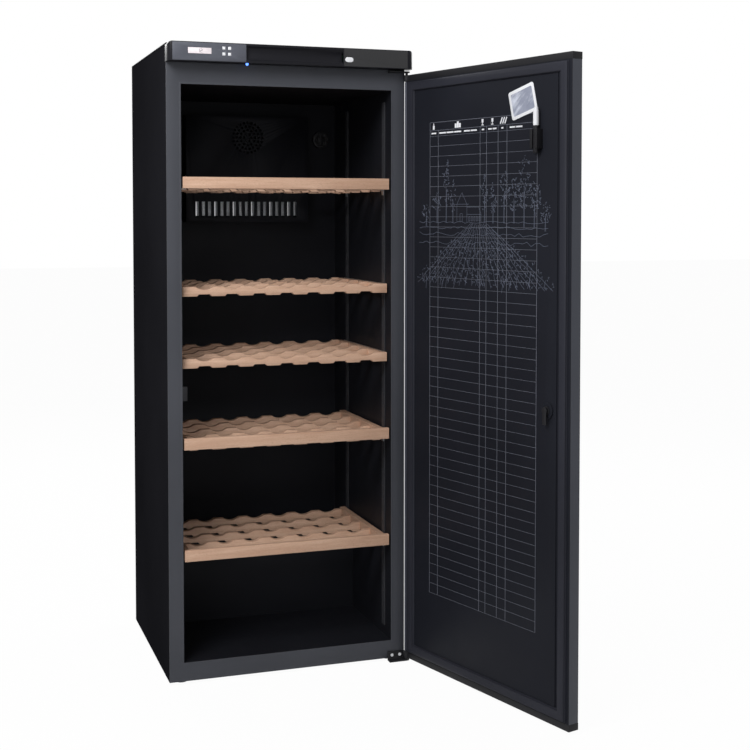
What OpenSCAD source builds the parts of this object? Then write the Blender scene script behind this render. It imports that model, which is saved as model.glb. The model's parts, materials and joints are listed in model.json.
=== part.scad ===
// Tall free-standing wine cabinet with its door open.
// The origin is on the floor under the middle of the cabinet, the front faces -Y and +Z is up.

/* [Cabinet] */
// Outside width of the cabinet
cabinet_w = 700; // [600:1:850]
// Outside depth of the cabinet without its door
cabinet_d = 620; // [560:1:760]
// Height above the floor
cabinet_h = 1797; // [1480:1:2200]
// Height of the feet under the base
foot_h = 10; // [9:1:12]
// Thickness of the painted sheet
sheet_t = 1; // [0.8:0.1:1.5]
// Thickness of the plastic liner
liner_t = 2; // [1.5:0.5:3]
// Thickness of the top cover
lid_t = 7; // [5:1:12]

/* [Front opening] */
// Width of the frame face beside the opening
stile_w = 41; // [36:1:55]
// Height of the frame face under the opening
sill_h = 53; // [45:1:70]
// Height from the top of the opening to the top of the cabinet
header_h = 112; // [100:1:130]
// Thickness of the front frame
frame_t = 2; // [1.5:0.5:3]
// Thickness of the insulated back wall
back_wall = 60; // [50:1:80]

/* [Compressor bay] */
// Depth of the compressor bay
bay_d = 210; // [200:1:240]
// Height of the compressor bay above the base
bay_h = 280; // [260:1:300]
// Insulation between the bay and the cooled space
bay_wall = 40; // [30:1:50]

/* [Fascia] */
// Height of the fascia
fascia_h = 53; // [50:1:60]
// Depth of the fascia in front of the frame
fascia_d = 42; // [40:1:50]
// Overhang of the fascia past the cabinet at the hinge side
hinge_overhang = 12; // [11:1:20]
// Overhang of the fascia past the cabinet at the latch side
latch_overhang = 2; // [0:1:6]
// Depth of the scoop in the middle of the fascia
scoop_depth = 9; // [5:1:12]

/* [Door] */
// Thickness of the door
door_t = 32; // [30:1:45]
// Gap between the frame and the closed door, filled by the gasket
door_gap = 10; // [9:1:14]
// Angle at which the door stands open
door_open = 106; // [90:1:115]
// Height of the moulded caps at both ends of the door
cap_h = 18; // [16:1:24]
// Width of the gasket
gasket_w = 28; // [22:1:34]
// Distance from the door's edge to the gasket
gasket_inset = 12; // [10:1:16]

/* [Shelves] */
// Height of shelf 1 as a share of the opening
shelf_1_level = 0.842; // [0.8:0.001:0.86]
// Height of shelf 2 as a share of the opening
shelf_2_level = 0.652; // [0.62:0.001:0.68]
// Height of shelf 3 as a share of the opening
shelf_3_level = 0.527; // [0.5:0.001:0.56]
// Height of shelf 4 as a share of the opening
shelf_4_level = 0.390; // [0.36:0.001:0.42]
// Gap between the compressor step and the lowest shelf
shelf_5_gap = 17.3; // [10:0.1:60]
// Distance between bottle rests
bottle_pitch = 80; // [74:1:90]
// Height of a slat
slat_h = 27; // [24:1:32]
// Thickness of a slat, front to back
slat_t = 20; // [16:1:24]
// Depth of a shelf behind its front slat
shelf_d = 410; // [360:1:420]
// Number of slats in each shelf
slat_count = 5; // [4:1:6]

/* [Hidden] */

steel_black = [0.07, 0.07, 0.08];
steel_blue = [0.27, 0.31, 0.38];
plastic_black = [0.05, 0.05, 0.06];
liner_grey = [0.12, 0.12, 0.13];
panel_grey = [0.35, 0.40, 0.47];
beech = [0.78, 0.58, 0.40];
zinc = [0.70, 0.71, 0.72];
rubber = [0.10, 0.10, 0.10];
white = [0.93, 0.94, 0.95];
foam_yellow = [0.90, 0.82, 0.55];
copper = [0.72, 0.45, 0.30];

fine = 64;

// Main planes of the cabinet
half_w = cabinet_w / 2;
front_y = -cabinet_d / 2;
back_y = cabinet_d / 2;
body_z = foot_h;
lid_z = cabinet_h - lid_t;
open_x = half_w - stile_w;
open_z0 = body_z + sill_h;
open_z1 = cabinet_h - header_h;
open_h = open_z1 - open_z0;
liner_back_y = back_y - back_wall;
fascia_y = front_y - fascia_d;
fascia_z = cabinet_h - fascia_h;
base_t = 2;
base_h = 22;

// Step in the cooled space over the compressor bay
bay_y = back_y - bay_d;
bay_top = body_z + bay_h;
step_y = bay_y - bay_wall;
step_z = bay_top + bay_wall;

// Feet
foot_inset = 40;
foot_pad_r = 18;
foot_pad_h = foot_h - 3;
foot_stem_r = 5;
foot_stem_top = body_z + 18;
foot_x = half_w - foot_inset;
foot_y = back_y - foot_inset;
fit = 0.05;

// Hinge axis and the closed door
lug_r = 9.5;
pivot_x = half_w + 2;
pivot_y = front_y - door_gap - 2;
pin_r = 4;
bush_r = 7;
door_x0 = -half_w + 3;
door_x1 = half_w - 1;
door_in = front_y - door_gap;
door_out = door_in - door_t;
door_z0 = body_z + 2;
door_z1 = fascia_z - 15;
skin_z0 = door_z0 + cap_h;
skin_z1 = door_z1 - cap_h;
panel_t = 2;
panel_raise = 3;
panel_inset = 50;
panel_y = door_in + panel_raise;
hinge_t = 4;
top_hinge_z = fascia_z - 8;
bottom_hinge_z = door_z0 - 9;
top_screw_z = 26;
bottom_screw_z = 17;
screw_r = 2.5;
flange_x0 = half_w - 52;
flange_x1 = half_w - 4;

// Lock
lock_x = door_x0 + 80;
lock_z = body_z + 813;
lock_r = 11;
core_r = 7;
cam_len = 36;
cam_y = front_y + 4;

// Recessed grip in the outer face near the free edge
grip_x0 = door_x0 + 13;
grip_w = 30;
grip_z0 = lock_z + 80;
grip_h = 200;
grip_d = 18;
grip_wall = 1.5;

// Pen, its holder and the label on the inner panel, set from the door's top
pen_x = door_x1 - 578;
pen_z0 = door_z1 - 249;
pen_r = 7.5;
pen_y = panel_y + 12;
pen_len = 110;
pen_tip = 8;
clip_half = 13;
clip_d = 22;
clip_z = [12, 62];
label_x = door_x1 - 514;
label_z = door_z1 - 112;
label_size = [100, 2, 76];
label_tilt = 14;

// Compressor
comp_x = half_w - 150;
comp_y = back_y - 108;
grommet_h = 14;
grommet_r = 11;
grommet_at = [72, 38];
comp_z = body_z + base_t + grommet_h;
comp_plate = [85, 50, 3];
comp_r = 58;
comp_wall_h = 90;
comp_dome_h = 46;
starter_x = [-90, -58];
starter_half = 20;
starter_z = [40, 90];
tray_size = [70, 50, 26];
tray_wall = 2;

// Shelves
shelf_half = open_x - 5;
rail_t = 18;
rail_half = shelf_half - 1.5;
support_x = open_x - 3;
fixed_y = front_y + 4;
strip_t = 16;
strip_h = 32;
slide_y = front_y + 23;
rail_w = 22;
front_rail_y = front_y + 65;
rear_rail_y = front_y + 421;
rest_r = 42;
dip_d = 8.5;
notch_d = 5.5;
dips = floor((2 * shelf_half - 40) / bottle_pitch);
groove_h = 4;
groove_d = 12;
runner_t = 3;
shelf_z = function(level) open_z0 + level * open_h;
shelf_5_level = (step_z + shelf_5_gap + strip_h - open_z0) / open_h;

// Fan and evaporator, high on the back wall
fan_z = open_z1 - 115;
cover_d = 60;
cover_half = 200;
cover_z0 = open_z1 - 385;
cover_z1 = open_z1 - 45;
fan_r = 58;
shaft_r = 3;

// Control area on the fascia
ctrl_x0 = -half_w + 11;
ctrl_x1 = -half_w + 217;
gloss_x0 = half_w - 198;
gloss_x1 = half_w - 6;
mid_z = fascia_z + fascia_h / 2;
fascia_wall = 3;
front_wall = 5;
insert_t = 2;
insert_z = [fascia_z + 2, cabinet_h - 2];
board_y = fascia_y + 15;
button_w = 8.4;
button_gap = 0.3;
button_cols = [-half_w + 154, -half_w + 170];
button_rows = [fascia_z + 38, fascia_z + 22];
display_x = [-half_w + 54, -half_w + 119];
display_z = [fascia_z + 21, fascia_z + 37];
switch_x = half_w - 183;
switch_z = fascia_z + 20;
switch_half = 12;
switch_r = 7;
lamp_x = -half_w + 222;
lamp_y = fascia_y + 12;

// ---------- helpers ----------

module block(x, y, z) {
    translate([x[0], y[0], z[0]]) cube([x[1] - x[0], y[1] - y[0], z[1] - z[0]]);
}

module rod_y(x, z, y, r) {
    translate([x, y[0], z]) rotate([-90, 0, 0]) cylinder(h = y[1] - y[0], r = r, $fn = fine);
}

module rod_z(x, y, z, r) {
    translate([x, y, z[0]]) cylinder(h = z[1] - z[0], r = r, $fn = fine);
}

module both_sides() {
    children();
    mirror([1, 0, 0]) children();
}

// A flat ring standing in a plane across Y
module upright_ring(x, z, y, w) {
    difference() {
        block(x, y, z);
        block([x[0] + w, x[1] - w], [y[0] - 1, y[1] + 1], [z[0] + w, z[1] - w]);
    }
}

// Turns the closed door about the hinge pins to where it stands open
module at_door() {
    translate([pivot_x, pivot_y, 0]) rotate([0, 0, door_open]) translate([-pivot_x, -pivot_y, 0])
        children();
}

// ---------- cabinet ----------

module base_frame() {
    color(steel_black) difference() {
        union() {
            block([-half_w + sheet_t, half_w - sheet_t], [front_y + frame_t, back_y - sheet_t],
                [body_z, body_z + base_t]);
            both_sides() block([half_w - sheet_t - base_t, half_w - sheet_t],
                [front_y + frame_t, back_y - sheet_t], [body_z, body_z + base_h]);
            block([-half_w + sheet_t, half_w - sheet_t], [front_y + frame_t, front_y + frame_t + base_t],
                [body_z, body_z + base_h]);
            for (x = [-foot_x, foot_x], y = [-foot_y, foot_y])
                rod_z(x, y, [body_z + base_t, body_z + base_t + 12], 10);
        }
        for (x = [-foot_x, foot_x], y = [-foot_y, foot_y]) {
            rod_z(x, y, [body_z - 1, body_z + base_t], foot_stem_r + 1.5);
            rod_z(x, y, [body_z, body_z + base_h], foot_stem_r + fit);
        }
    }
}

module outer_wrapper() {
    color(steel_black) difference() {
        block([-half_w, half_w], [front_y + frame_t, back_y - sheet_t], [body_z, lid_z]);
        block([-half_w + sheet_t, half_w - sheet_t], [front_y, back_y], [body_z - 1, lid_z - sheet_t]);
    }
}

module rear_panel() {
    color(zinc) block([-half_w, half_w], [back_y - sheet_t, back_y], [bay_top, lid_z]);
}

// The cooled space, grown by a margin on all sides but the front
module cooled_space(grow) {
    difference() {
        block([-open_x - grow, open_x + grow], [front_y - 1, liner_back_y + grow],
            [open_z0 - grow, open_z1 + grow]);
        block([-half_w, half_w], [step_y + grow, back_y], [body_z, step_z - grow]);
    }
}

module foam_insulation() {
    color(foam_yellow) difference() {
        block([-half_w + sheet_t, half_w - sheet_t], [front_y + frame_t, back_y - sheet_t],
            [body_z + base_h, lid_z - sheet_t]);
        cooled_space(liner_t);
        block([-half_w + sheet_t + 20, half_w - sheet_t - 20], [bay_y, back_y], [body_z, bay_top]);
    }
}

module inner_liner() {
    color(liner_grey) difference() {
        intersection() {
            cooled_space(liner_t);
            block([-half_w, half_w], [front_y + frame_t, back_y], [body_z, lid_z]);
        }
        cooled_space(0);
    }
}

module front_frame() {
    color(steel_blue) difference() {
        block([-half_w, half_w], [front_y, front_y + frame_t], [body_z, lid_z]);
        block([-open_x, open_x], [front_y - 1, front_y + 5], [open_z0, open_z1]);
    }
}

module top_cover() {
    color(plastic_black) block([-half_w, half_w], [front_y, back_y], [lid_z, cabinet_h]);
}

// ---------- fascia and controls ----------

module fascia_outline(x0, x1, r) {
    translate([x0 + r, fascia_y]) square([x1 - x0 - 2 * r, fascia_d]);
    translate([x0, fascia_y + r]) square([x1 - x0, fascia_d - r]);
    for (x = [x0 + r, x1 - r]) translate([x, fascia_y + r]) circle(r = r, $fn = fine);
}

module fascia_front(x0, x1, r) {
    translate([x0, fascia_z]) square([x1 - x0, fascia_h - r]);
    translate([x0 + r, fascia_z]) square([x1 - x0 - 2 * r, fascia_h]);
    for (x = [x0 + r, x1 - r]) translate([x, cabinet_h - r]) circle(r = r, $fn = fine);
}

module fascia() {
    x0 = -half_w - latch_overhang;
    x1 = half_w + hinge_overhang;
    scoop_half = 20;
    scoop_r = (scoop_half * scoop_half + scoop_depth * scoop_depth) / (2 * scoop_depth);
    hollow_z = [fascia_z + fascia_wall, cabinet_h - fascia_wall];
    color(plastic_black) difference() {
        union() {
            difference() {
                intersection() {
                    translate([0, 0, fascia_z]) linear_extrude(fascia_h) fascia_outline(x0, x1, 14);
                    translate([0, front_y, 0]) rotate([90, 0, 0]) linear_extrude(fascia_d)
                        fascia_front(x0, x1, 12);
                }
                block([ctrl_x0 - 4, ctrl_x1 + 2], [fascia_y + front_wall, front_y + 1], hollow_z);
                block([gloss_x0 - 4, x1 - 6], [fascia_y + front_wall, front_y + 1], hollow_z);
                block([ctrl_x1 + 5, gloss_x0 - 7], [fascia_y + scoop_depth + 8, front_y + 1], hollow_z);
            }
            for (x = [ctrl_x0 + 12, ctrl_x1 - 8], z = [fascia_z + 10, cabinet_h - 12])
                rod_y(x, z, [fascia_y + front_wall - 1, board_y], 3);
        }
        block([ctrl_x0, ctrl_x1], [fascia_y - 1, fascia_y + insert_t], insert_z);
        block([gloss_x0, gloss_x1], [fascia_y - 1, fascia_y + insert_t], insert_z);
        for (x = button_cols, z = button_rows) button_hole(x, z, front_wall);
        switch_hole(front_wall);
        rod_z(lamp_x, lamp_y, [fascia_z - 1, fascia_z + 10], 4);
        translate([ctrl_x1 + 2, fascia_y - scoop_r + scoop_depth, mid_z]) rotate([0, 90, 0])
            cylinder(h = gloss_x0 - ctrl_x1 - 4, r = scoop_r, $fn = fine);
        block([flange_x0 - 2, flange_x1 + 4], [front_y - hinge_t - 4, front_y + 1],
            [fascia_z - 1, fascia_z + fascia_wall + 1]);
    }
}

module button_hole(x, z, deep) {
    half = button_w / 2 + button_gap;
    block([x - half, x + half], [fascia_y - 1, fascia_y + deep + 1], [z - half, z + half]);
}

module switch_outline(grow) {
    for (side = [-1, 1]) translate([side * (switch_half - switch_r), 0])
        circle(r = switch_r + grow, $fn = fine);
    square([2 * (switch_half - switch_r), 2 * (switch_r + grow)], center = true);
}

module switch_hole(deep) {
    translate([switch_x, fascia_y + deep + 1, switch_z]) rotate([90, 0, 0])
        linear_extrude(deep + 2) switch_outline(button_gap);
}

module control_panel() {
    color(panel_grey) difference() {
        block([ctrl_x0, ctrl_x1], [fascia_y, fascia_y + insert_t], insert_z);
        for (x = button_cols, z = button_rows) button_hole(x, z, front_wall);
        block(display_x, [fascia_y - 1, fascia_y + 5], display_z);
    }
}

module display_window() {
    color(white) block(display_x, [fascia_y - 0.3, fascia_y + insert_t], display_z);
}

module gloss_panel() {
    color(plastic_black) difference() {
        block([gloss_x0, gloss_x1], [fascia_y, fascia_y + insert_t], insert_z);
        switch_hole(front_wall);
    }
}

// Circuit board with its four key switches, and the body of the power switch
module control_board() {
    color([0.10, 0.35, 0.20]) {
        block([ctrl_x0 + 4, ctrl_x1 - 2], [board_y, board_y + 1.6], [fascia_z + 6, cabinet_h - 6]);
        for (x = button_cols, z = button_rows)
            block([x - 3, x + 3], [board_y - 3, board_y], [z - 3, z + 3]);
        block([switch_x - 14, switch_x + 14], [fascia_y + 15, fascia_y + 32], [fascia_z + 3, fascia_z + 33]);
    }
}

module key_cap(x, z) {
    half = button_w / 2;
    color(white) block([x - half, x + half], [fascia_y - 0.8, board_y - 4.5], [z - half, z + half]);
}

module button_up() {
    key_cap(button_cols[0], button_rows[0]);
}

module button_down() {
    key_cap(button_cols[0], button_rows[1]);
}

module button_set() {
    key_cap(button_cols[1], button_rows[0]);
}

module button_light() {
    key_cap(button_cols[1], button_rows[1]);
}

module power_switch() {
    color(white) translate([switch_x, fascia_y + 12.5, switch_z]) rotate([90, 0, 0])
        linear_extrude(15) switch_outline(0);
}

module blue_lamp_lens() {
    color([0.35, 0.60, 1.0]) {
        rod_z(lamp_x, lamp_y, [fascia_z - 2, fascia_z + 8], 4);
        translate([lamp_x, lamp_y, fascia_z - 2]) intersection() {
            sphere(r = 4, $fn = fine);
            translate([0, 0, -2.5]) cube([8, 8, 5], center = true);
        }
    }
}

// ---------- interior ----------

module slotted_rail_face() {
    difference() {
        square([rail_w, open_h - 60]);
        for (z = [20 : 40 : open_h - 90]) translate([rail_w / 2 - 3, z]) square([6, 16]);
    }
}

module slotted_rails() {
    color(liner_grey) both_sides() for (y = [front_rail_y, rear_rail_y])
        translate([open_x, y - rail_w / 2, open_z0 + (y == rear_rail_y ? 300 : 30)]) rotate([90, 0, -90])
            translate([-rail_w, 0, 0]) linear_extrude(3) intersection() {
                slotted_rail_face();
                square([rail_w, open_h - (y == rear_rail_y ? 330 : 60)]);
            }
}

// Steel clips under the fixed shelves and the runners of the sliding shelves
module shelf_supports() {
    color(zinc) both_sides() {
        for (level = [shelf_1_level, shelf_4_level, shelf_5_level], y = [front_rail_y, rear_rail_y])
            shelf_clip(y, shelf_z(level) - strip_h);
        for (level = [shelf_2_level, shelf_3_level]) runner(shelf_z(level) - slat_h / 2);
    }
}

module shelf_clip(y, z) {
    block([support_x - 2, support_x], [y - 9, y + 9], [z - 16, z + 10]);
    block([rail_half - rail_t + 2, support_x], [y - 9, y + 9], [z - 2, z]);
}

module runner(z) {
    y = [slide_y + slat_t + 5, slide_y + slat_t + shelf_d - 8];
    block([support_x - 1.5, support_x], y, [z - 13, z + 13]);
    block([rail_half - groove_d + 1, support_x], y, [z - runner_t / 2, z + runner_t / 2]);
}

module evaporator_cover() {
    y = [liner_back_y - cover_d, liner_back_y];
    color(liner_grey) difference() {
        block([-cover_half, cover_half], y, [cover_z0, cover_z1]);
        block([-cover_half + 2, cover_half - 2], [y[0] + 2, y[1] + 1], [cover_z0 + 2, cover_z1 - 2]);
        for (ring = [1 : 4], step = [0 : 6 * ring - 1])
            rod_y(12 * ring * cos(60 * step / ring), fan_z + 12 * ring * sin(60 * step / ring),
                [y[0] - 1, y[0] + 3], 4);
        for (x = [-170 : 20 : 160])
            block([x, x + 10], [y[0] - 1, y[0] + 3], [cover_z0 + 15, cover_z0 + 65]);
    }
}

module evaporator() {
    y = [liner_back_y - 46, liner_back_y];
    color(zinc) difference() {
        block([-170, 170], y, [cover_z0 + 20, cover_z0 + 180]);
        for (x = [-164 : 12 : 160]) block([x, x + 9], [y[0] - 1, y[1] - 8], [cover_z0, cover_z0 + 200]);
    }
}

module fan_motor() {
    color(steel_black) union() {
        rod_y(0, fan_z, [liner_back_y - 22, liner_back_y], 24);
        rod_y(0, fan_z, [liner_back_y - 44, liner_back_y - 22], shaft_r);
    }
}

module fan_rotor() {
    color(white) difference() {
        union() {
            rod_y(0, fan_z, [liner_back_y - 42, liner_back_y - 24], 16);
            for (i = [0 : 6]) translate([0, liner_back_y - 33, fan_z]) rotate([0, i * 360 / 7, 0])
                translate([14, 0, 0]) rotate([35, 0, 0]) translate([0, -1, -15]) cube([fan_r - 16, 2, 30]);
        }
        rod_y(0, fan_z, [liner_back_y - 60, liner_back_y], shaft_r + fit);
    }
}

module air_filter() {
    color(plastic_black) difference() {
        rod_y(cover_half + 58, fan_z, [liner_back_y - 16, liner_back_y], 27);
        for (i = [0 : 5]) rod_y(cover_half + 58 + 15 * cos(60 * i), fan_z + 15 * sin(60 * i),
            [liner_back_y - 17, liner_back_y - 6], 5);
    }
}

// ---------- compressor bay ----------

// Hermetic shell on a foot plate with four rubber grommets, and the starter box at its side
module compressor() {
    color(steel_black) {
        union() {
            translate([comp_x, comp_y, comp_z + comp_plate[2]]) rotate_extrude($fn = fine) {
                square([comp_r, comp_wall_h]);
                translate([0, comp_wall_h]) intersection() {
                    circle(r = comp_r, $fn = fine);
                    square([comp_r, comp_dome_h]);
                }
            }
            block([comp_x - comp_plate[0], comp_x + comp_plate[0]], [comp_y - comp_plate[1], comp_y + comp_plate[1]],
                [comp_z, comp_z + comp_plate[2]]);
        }
        block([comp_x + starter_x[0], comp_x + starter_x[1]], [comp_y - starter_half, comp_y + starter_half],
            [comp_z + starter_z[0], comp_z + starter_z[1]]);
        for (x = [-1, 1] * grommet_at[0], y = [-1, 1] * grommet_at[1])
            rod_z(comp_x + x, comp_y + y, [body_z + base_t, comp_z], grommet_r);
    }
}

module drip_tray() {
    z = comp_z + comp_plate[2] + comp_wall_h + comp_dome_h;
    inner_x = tray_size[0] - tray_wall;
    inner_y = tray_size[1] - tray_wall;
    color(plastic_black) difference() {
        block([comp_x - tray_size[0], comp_x + tray_size[0]], [comp_y - tray_size[1], comp_y + tray_size[1]],
            [z, z + tray_size[2]]);
        block([comp_x - inner_x, comp_x + inner_x], [comp_y - inner_y, comp_y + inner_y],
            [z + tray_wall, z + tray_size[2] + 1]);
    }
}

// Half of a tube ring standing across Y, on one side of x
module half_bend(x, y, z, bend_r, tube_r, side) {
    reach = bend_r + tube_r + 1;
    translate([x, y, z]) intersection() {
        rotate([90, 0, 0]) rotate_extrude($fn = fine) translate([bend_r, 0]) circle(r = tube_r, $fn = fine);
        translate([side > 0 ? 0 : -reach, -reach, -reach]) cube([reach, 2 * reach, 2 * reach]);
    }
}

// Serpentine tube between two end plates
module condenser_coil() {
    x = [-half_w + 60, -60];
    passes = 8;
    pitch = 26;
    tube_r = 4;
    z0 = body_z + 30;
    y = back_y - 105;
    color(copper) for (i = [0 : passes - 1]) {
        translate([x[0], y, z0 + i * pitch]) rotate([0, 90, 0])
            cylinder(h = x[1] - x[0], r = tube_r, $fn = fine);
        if (i < passes - 1) half_bend(i % 2 == 0 ? x[1] : x[0], y, z0 + (i + 0.5) * pitch, pitch / 2,
            tube_r, i % 2 == 0 ? 1 : -1);
    }
    color(zinc) for (plate_x = [x[0] + 20, x[1] - 22]) difference() {
        block([plate_x, plate_x + 2], [y - 25, y + 25], [body_z + base_t, z0 + passes * pitch]);
        for (i = [0 : passes - 1]) translate([plate_x - 1, y, z0 + i * pitch]) rotate([0, 90, 0])
            cylinder(h = 4, r = tube_r + fit, $fn = fine);
    }
}

module bay_cover() {
    color(steel_black) difference() {
        block([-half_w + sheet_t, half_w - sheet_t], [back_y - sheet_t, back_y], [body_z, bay_top]);
        for (x = [-half_w + 60 : 24 : half_w - 70], z = [body_z + 60, body_z + 160])
            if (!(z == body_z + 60 && abs(x + 8) < 30))
                block([x, x + 10], [back_y - 5, back_y + 1], [z, z + 70]);
        block([-15, 15], [back_y - 5, back_y + 1], [body_z + 80, body_z + 102]);
    }
}

// Socket for a detachable mains lead
module power_inlet() {
    color(plastic_black) difference() {
        union() {
            block([-15, 15], [back_y - 26, back_y], [body_z + 80, body_z + 102]);
            block([-22, 22], [back_y, back_y + 2], [body_z + 76, body_z + 106]);
        }
        block([-12, 12], [back_y - 18, back_y + 3], [body_z + 83, body_z + 99]);
    }
}

// ---------- hinges and lock striker ----------

module hinge_plate(z, flange, pin) {
    color(steel_black) union() {
        block([flange_x0, pivot_x], [pivot_y - lug_r, front_y], [z, z + hinge_t]);
        rod_z(pivot_x, pivot_y, [z, z + hinge_t], lug_r);
        block([flange_x0, flange_x1], [front_y - hinge_t, front_y], flange);
        rod_z(pivot_x, pivot_y, pin, pin_r);
    }
}

module top_hinge() {
    z = top_hinge_z;
    difference() {
        hinge_plate(z, [z, z + 40], [skin_z1 + 2, z + hinge_t]);
        for (x = [flange_x0 + 12, flange_x1 - 12])
            rod_y(x, z + top_screw_z, [front_y - 6, front_y + 1], screw_r);
    }
}

module bottom_hinge() {
    z = bottom_hinge_z;
    difference() {
        hinge_plate(z, [z, z + 27], [z, skin_z0 - 2]);
        for (x = [flange_x0 + 12, flange_x1 - 12])
            rod_y(x, z + bottom_screw_z, [front_y - 6, front_y + 1], screw_r);
    }
}

module hinge_screws() {
    color(zinc) for (x = [flange_x0 + 12, flange_x1 - 12],
                     z = [top_hinge_z + top_screw_z, bottom_hinge_z + bottom_screw_z]) {
        difference() {
            union() {
                rod_y(x, z, [front_y - hinge_t - 2.5, front_y - hinge_t], 4.5);
                rod_y(x, z, [front_y - hinge_t, front_y], screw_r);
            }
            block([x - 3, x + 3], [front_y - hinge_t - 3, front_y - hinge_t - 1.3], [z - 0.5, z + 0.5]);
            block([x - 0.5, x + 0.5], [front_y - hinge_t - 3, front_y - hinge_t - 1.3], [z - 3, z + 3]);
        }
    }
}

// Catch plate that the lock's cam turns behind
module lock_striker() {
    color(zinc) union() {
        block([-open_x, -open_x + 14], [front_y + 1, front_y + 3], [lock_z - 20, lock_z + 20]);
        block([-open_x, -open_x + 1.5], [front_y + 1, front_y + 24], [lock_z - 20, lock_z + 20]);
    }
}

// ---------- shelves ----------

// Side view of a slat: round bottle rests on top and a shallow notch under each
module slat_face(half) {
    difference() {
        translate([-half, 0]) square([2 * half, slat_h]);
        for (i = [0 : dips - 1]) translate([(i - (dips - 1) / 2) * bottle_pitch, 0]) {
            translate([0, slat_h - dip_d + rest_r]) circle(r = rest_r, $fn = fine);
            polygon([[-22, -1], [22, -1], [16, notch_d], [-16, notch_d]]);
        }
    }
}

module slat(half, y, z) {
    translate([0, y + slat_t, z]) rotate([90, 0, 0]) linear_extrude(slat_t) slat_face(half);
}

// Plain side rails and flat front strip of a fixed shelf
module fixed_frame(level) {
    z = shelf_z(level);
    color(beech) {
        block([-shelf_half, shelf_half], [fixed_y, fixed_y + strip_t], [z - strip_h, z]);
        both_sides() block([rail_half - rail_t, rail_half], [fixed_y + strip_t, fixed_y + strip_t + shelf_d],
            [z - strip_h, z - 6]);
    }
}

module fixed_slats(level) {
    y0 = fixed_y + strip_t;
    step = (shelf_d - slat_t - 6) / (slat_count - 1);
    color(beech) for (i = [0 : slat_count - 1])
        slat(rail_half - rail_t, y0 + 6 + i * step, shelf_z(level) - strip_h - 6);
}

// Side rails of a sliding shelf with the groove that runs on the steel runner
module sliding_rails(level) {
    z = shelf_z(level) - slat_h;
    color(beech) both_sides() difference() {
        block([rail_half - rail_t, rail_half], [slide_y + slat_t, slide_y + slat_t + shelf_d],
            [z, z + slat_h - 2]);
        block([rail_half - groove_d, rail_half + 1], [slide_y + slat_t - 1, slide_y + slat_t + shelf_d + 1],
            [z + (slat_h - groove_h) / 2, z + (slat_h + groove_h) / 2]);
    }
}

module sliding_slats(level) {
    z = shelf_z(level) - slat_h;
    step = (shelf_d - slat_t) / (slat_count - 1);
    color(beech) {
        slat(shelf_half, slide_y, z);
        for (i = [1 : slat_count - 1]) slat(rail_half - rail_t, slide_y + slat_t + i * step, z);
    }
}

module shelf_1_frame() {
    fixed_frame(shelf_1_level);
}

module shelf_1_slats() {
    fixed_slats(shelf_1_level);
}

module shelf_4_frame() {
    fixed_frame(shelf_4_level);
}

module shelf_4_slats() {
    fixed_slats(shelf_4_level);
}

module shelf_5_frame() {
    fixed_frame(shelf_5_level);
}

module shelf_5_slats() {
    fixed_slats(shelf_5_level);
}

module shelf_2_rails() {
    sliding_rails(shelf_2_level);
}

module shelf_2_slats() {
    sliding_slats(shelf_2_level);
}

module shelf_3_rails() {
    sliding_rails(shelf_3_level);
}

module shelf_3_slats() {
    sliding_slats(shelf_3_level);
}

// ---------- door ----------

module lock_bore(r) {
    rod_y(lock_x, lock_z, [door_out - 1, panel_y + 1], r);
}

module grip_hole(grow) {
    block([grip_x0 - grow, grip_x0 + grip_w + grow], [door_out - 1, door_out + grip_d + grow],
        [grip_z0 - grow, grip_z0 + grip_h + grow]);
}

module door_skin() {
    color(steel_black) at_door() difference() {
        block([door_x0, door_x1], [door_out, door_in], [skin_z0, skin_z1]);
        block([door_x0 + sheet_t, door_x1 - sheet_t], [door_out + sheet_t, door_in + 1],
            [skin_z0 - 1, skin_z1 + 1]);
        lock_bore(lock_r);
        grip_hole(grip_wall);
    }
}

module door_foam() {
    color(foam_yellow) at_door() difference() {
        block([door_x0 + sheet_t, door_x1 - sheet_t], [door_out + sheet_t, door_in - panel_t],
            [skin_z0, skin_z1]);
        lock_bore(lock_r);
        grip_hole(grip_wall);
    }
}

// Moulded inner panel with a raised field inside the gasket and a boss round the lock
module door_inner_panel() {
    x = [door_x0 + sheet_t, door_x1 - sheet_t];
    color(liner_grey) at_door() difference() {
        union() {
            block(x, [door_in - panel_t, door_in], [skin_z0, skin_z1]);
            block([door_x0 + panel_inset, door_x1 - panel_inset], [door_in, panel_y],
                [door_z0 + panel_inset, door_z1 - panel_inset]);
            rod_y(lock_x, lock_z, [panel_y, panel_y + 5], 20);
        }
        rod_y(lock_x, lock_z, [door_out, panel_y + 6], lock_r);
    }
}

module door_gasket() {
    x = [door_x0 + gasket_inset, door_x1 - gasket_inset];
    z = [door_z0 + gasket_inset + 9, door_z1 - gasket_inset - 9];
    color(rubber) at_door() union() {
        upright_ring(x, z, [door_in, door_in + 5], gasket_w);
        upright_ring([x[0] + 3, x[1] - 3], [z[0] + 3, z[1] - 3], [door_in + 5, front_y - 0.3], gasket_w - 9);
    }
}

module door_cap(z) {
    color(plastic_black) at_door() difference() {
        union() {
            block([door_x0 - 0.5, door_x1], [door_out - 0.5, door_in + 0.5], z);
            rod_z(pivot_x, pivot_y, z, lug_r);
        }
        rod_z(pivot_x, pivot_y, [z[0] - 1, z[1] + 1], bush_r);
    }
    color(white) at_door() difference() {
        rod_z(pivot_x, pivot_y, z, bush_r);
        rod_z(pivot_x, pivot_y, [z[0] - 1, z[1] + 1], pin_r + fit);
    }
}

module door_top_cap() {
    door_cap([skin_z1, door_z1]);
}

module door_bottom_cap() {
    door_cap([door_z0, skin_z0]);
    color(white) at_door() difference() {
        rod_z(pivot_x, pivot_y, [door_z0 - 5, door_z0], lug_r - 1);
        rod_z(pivot_x, pivot_y, [door_z0 - 6, door_z0 + 1], pin_r + fit);
    }
}

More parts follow.
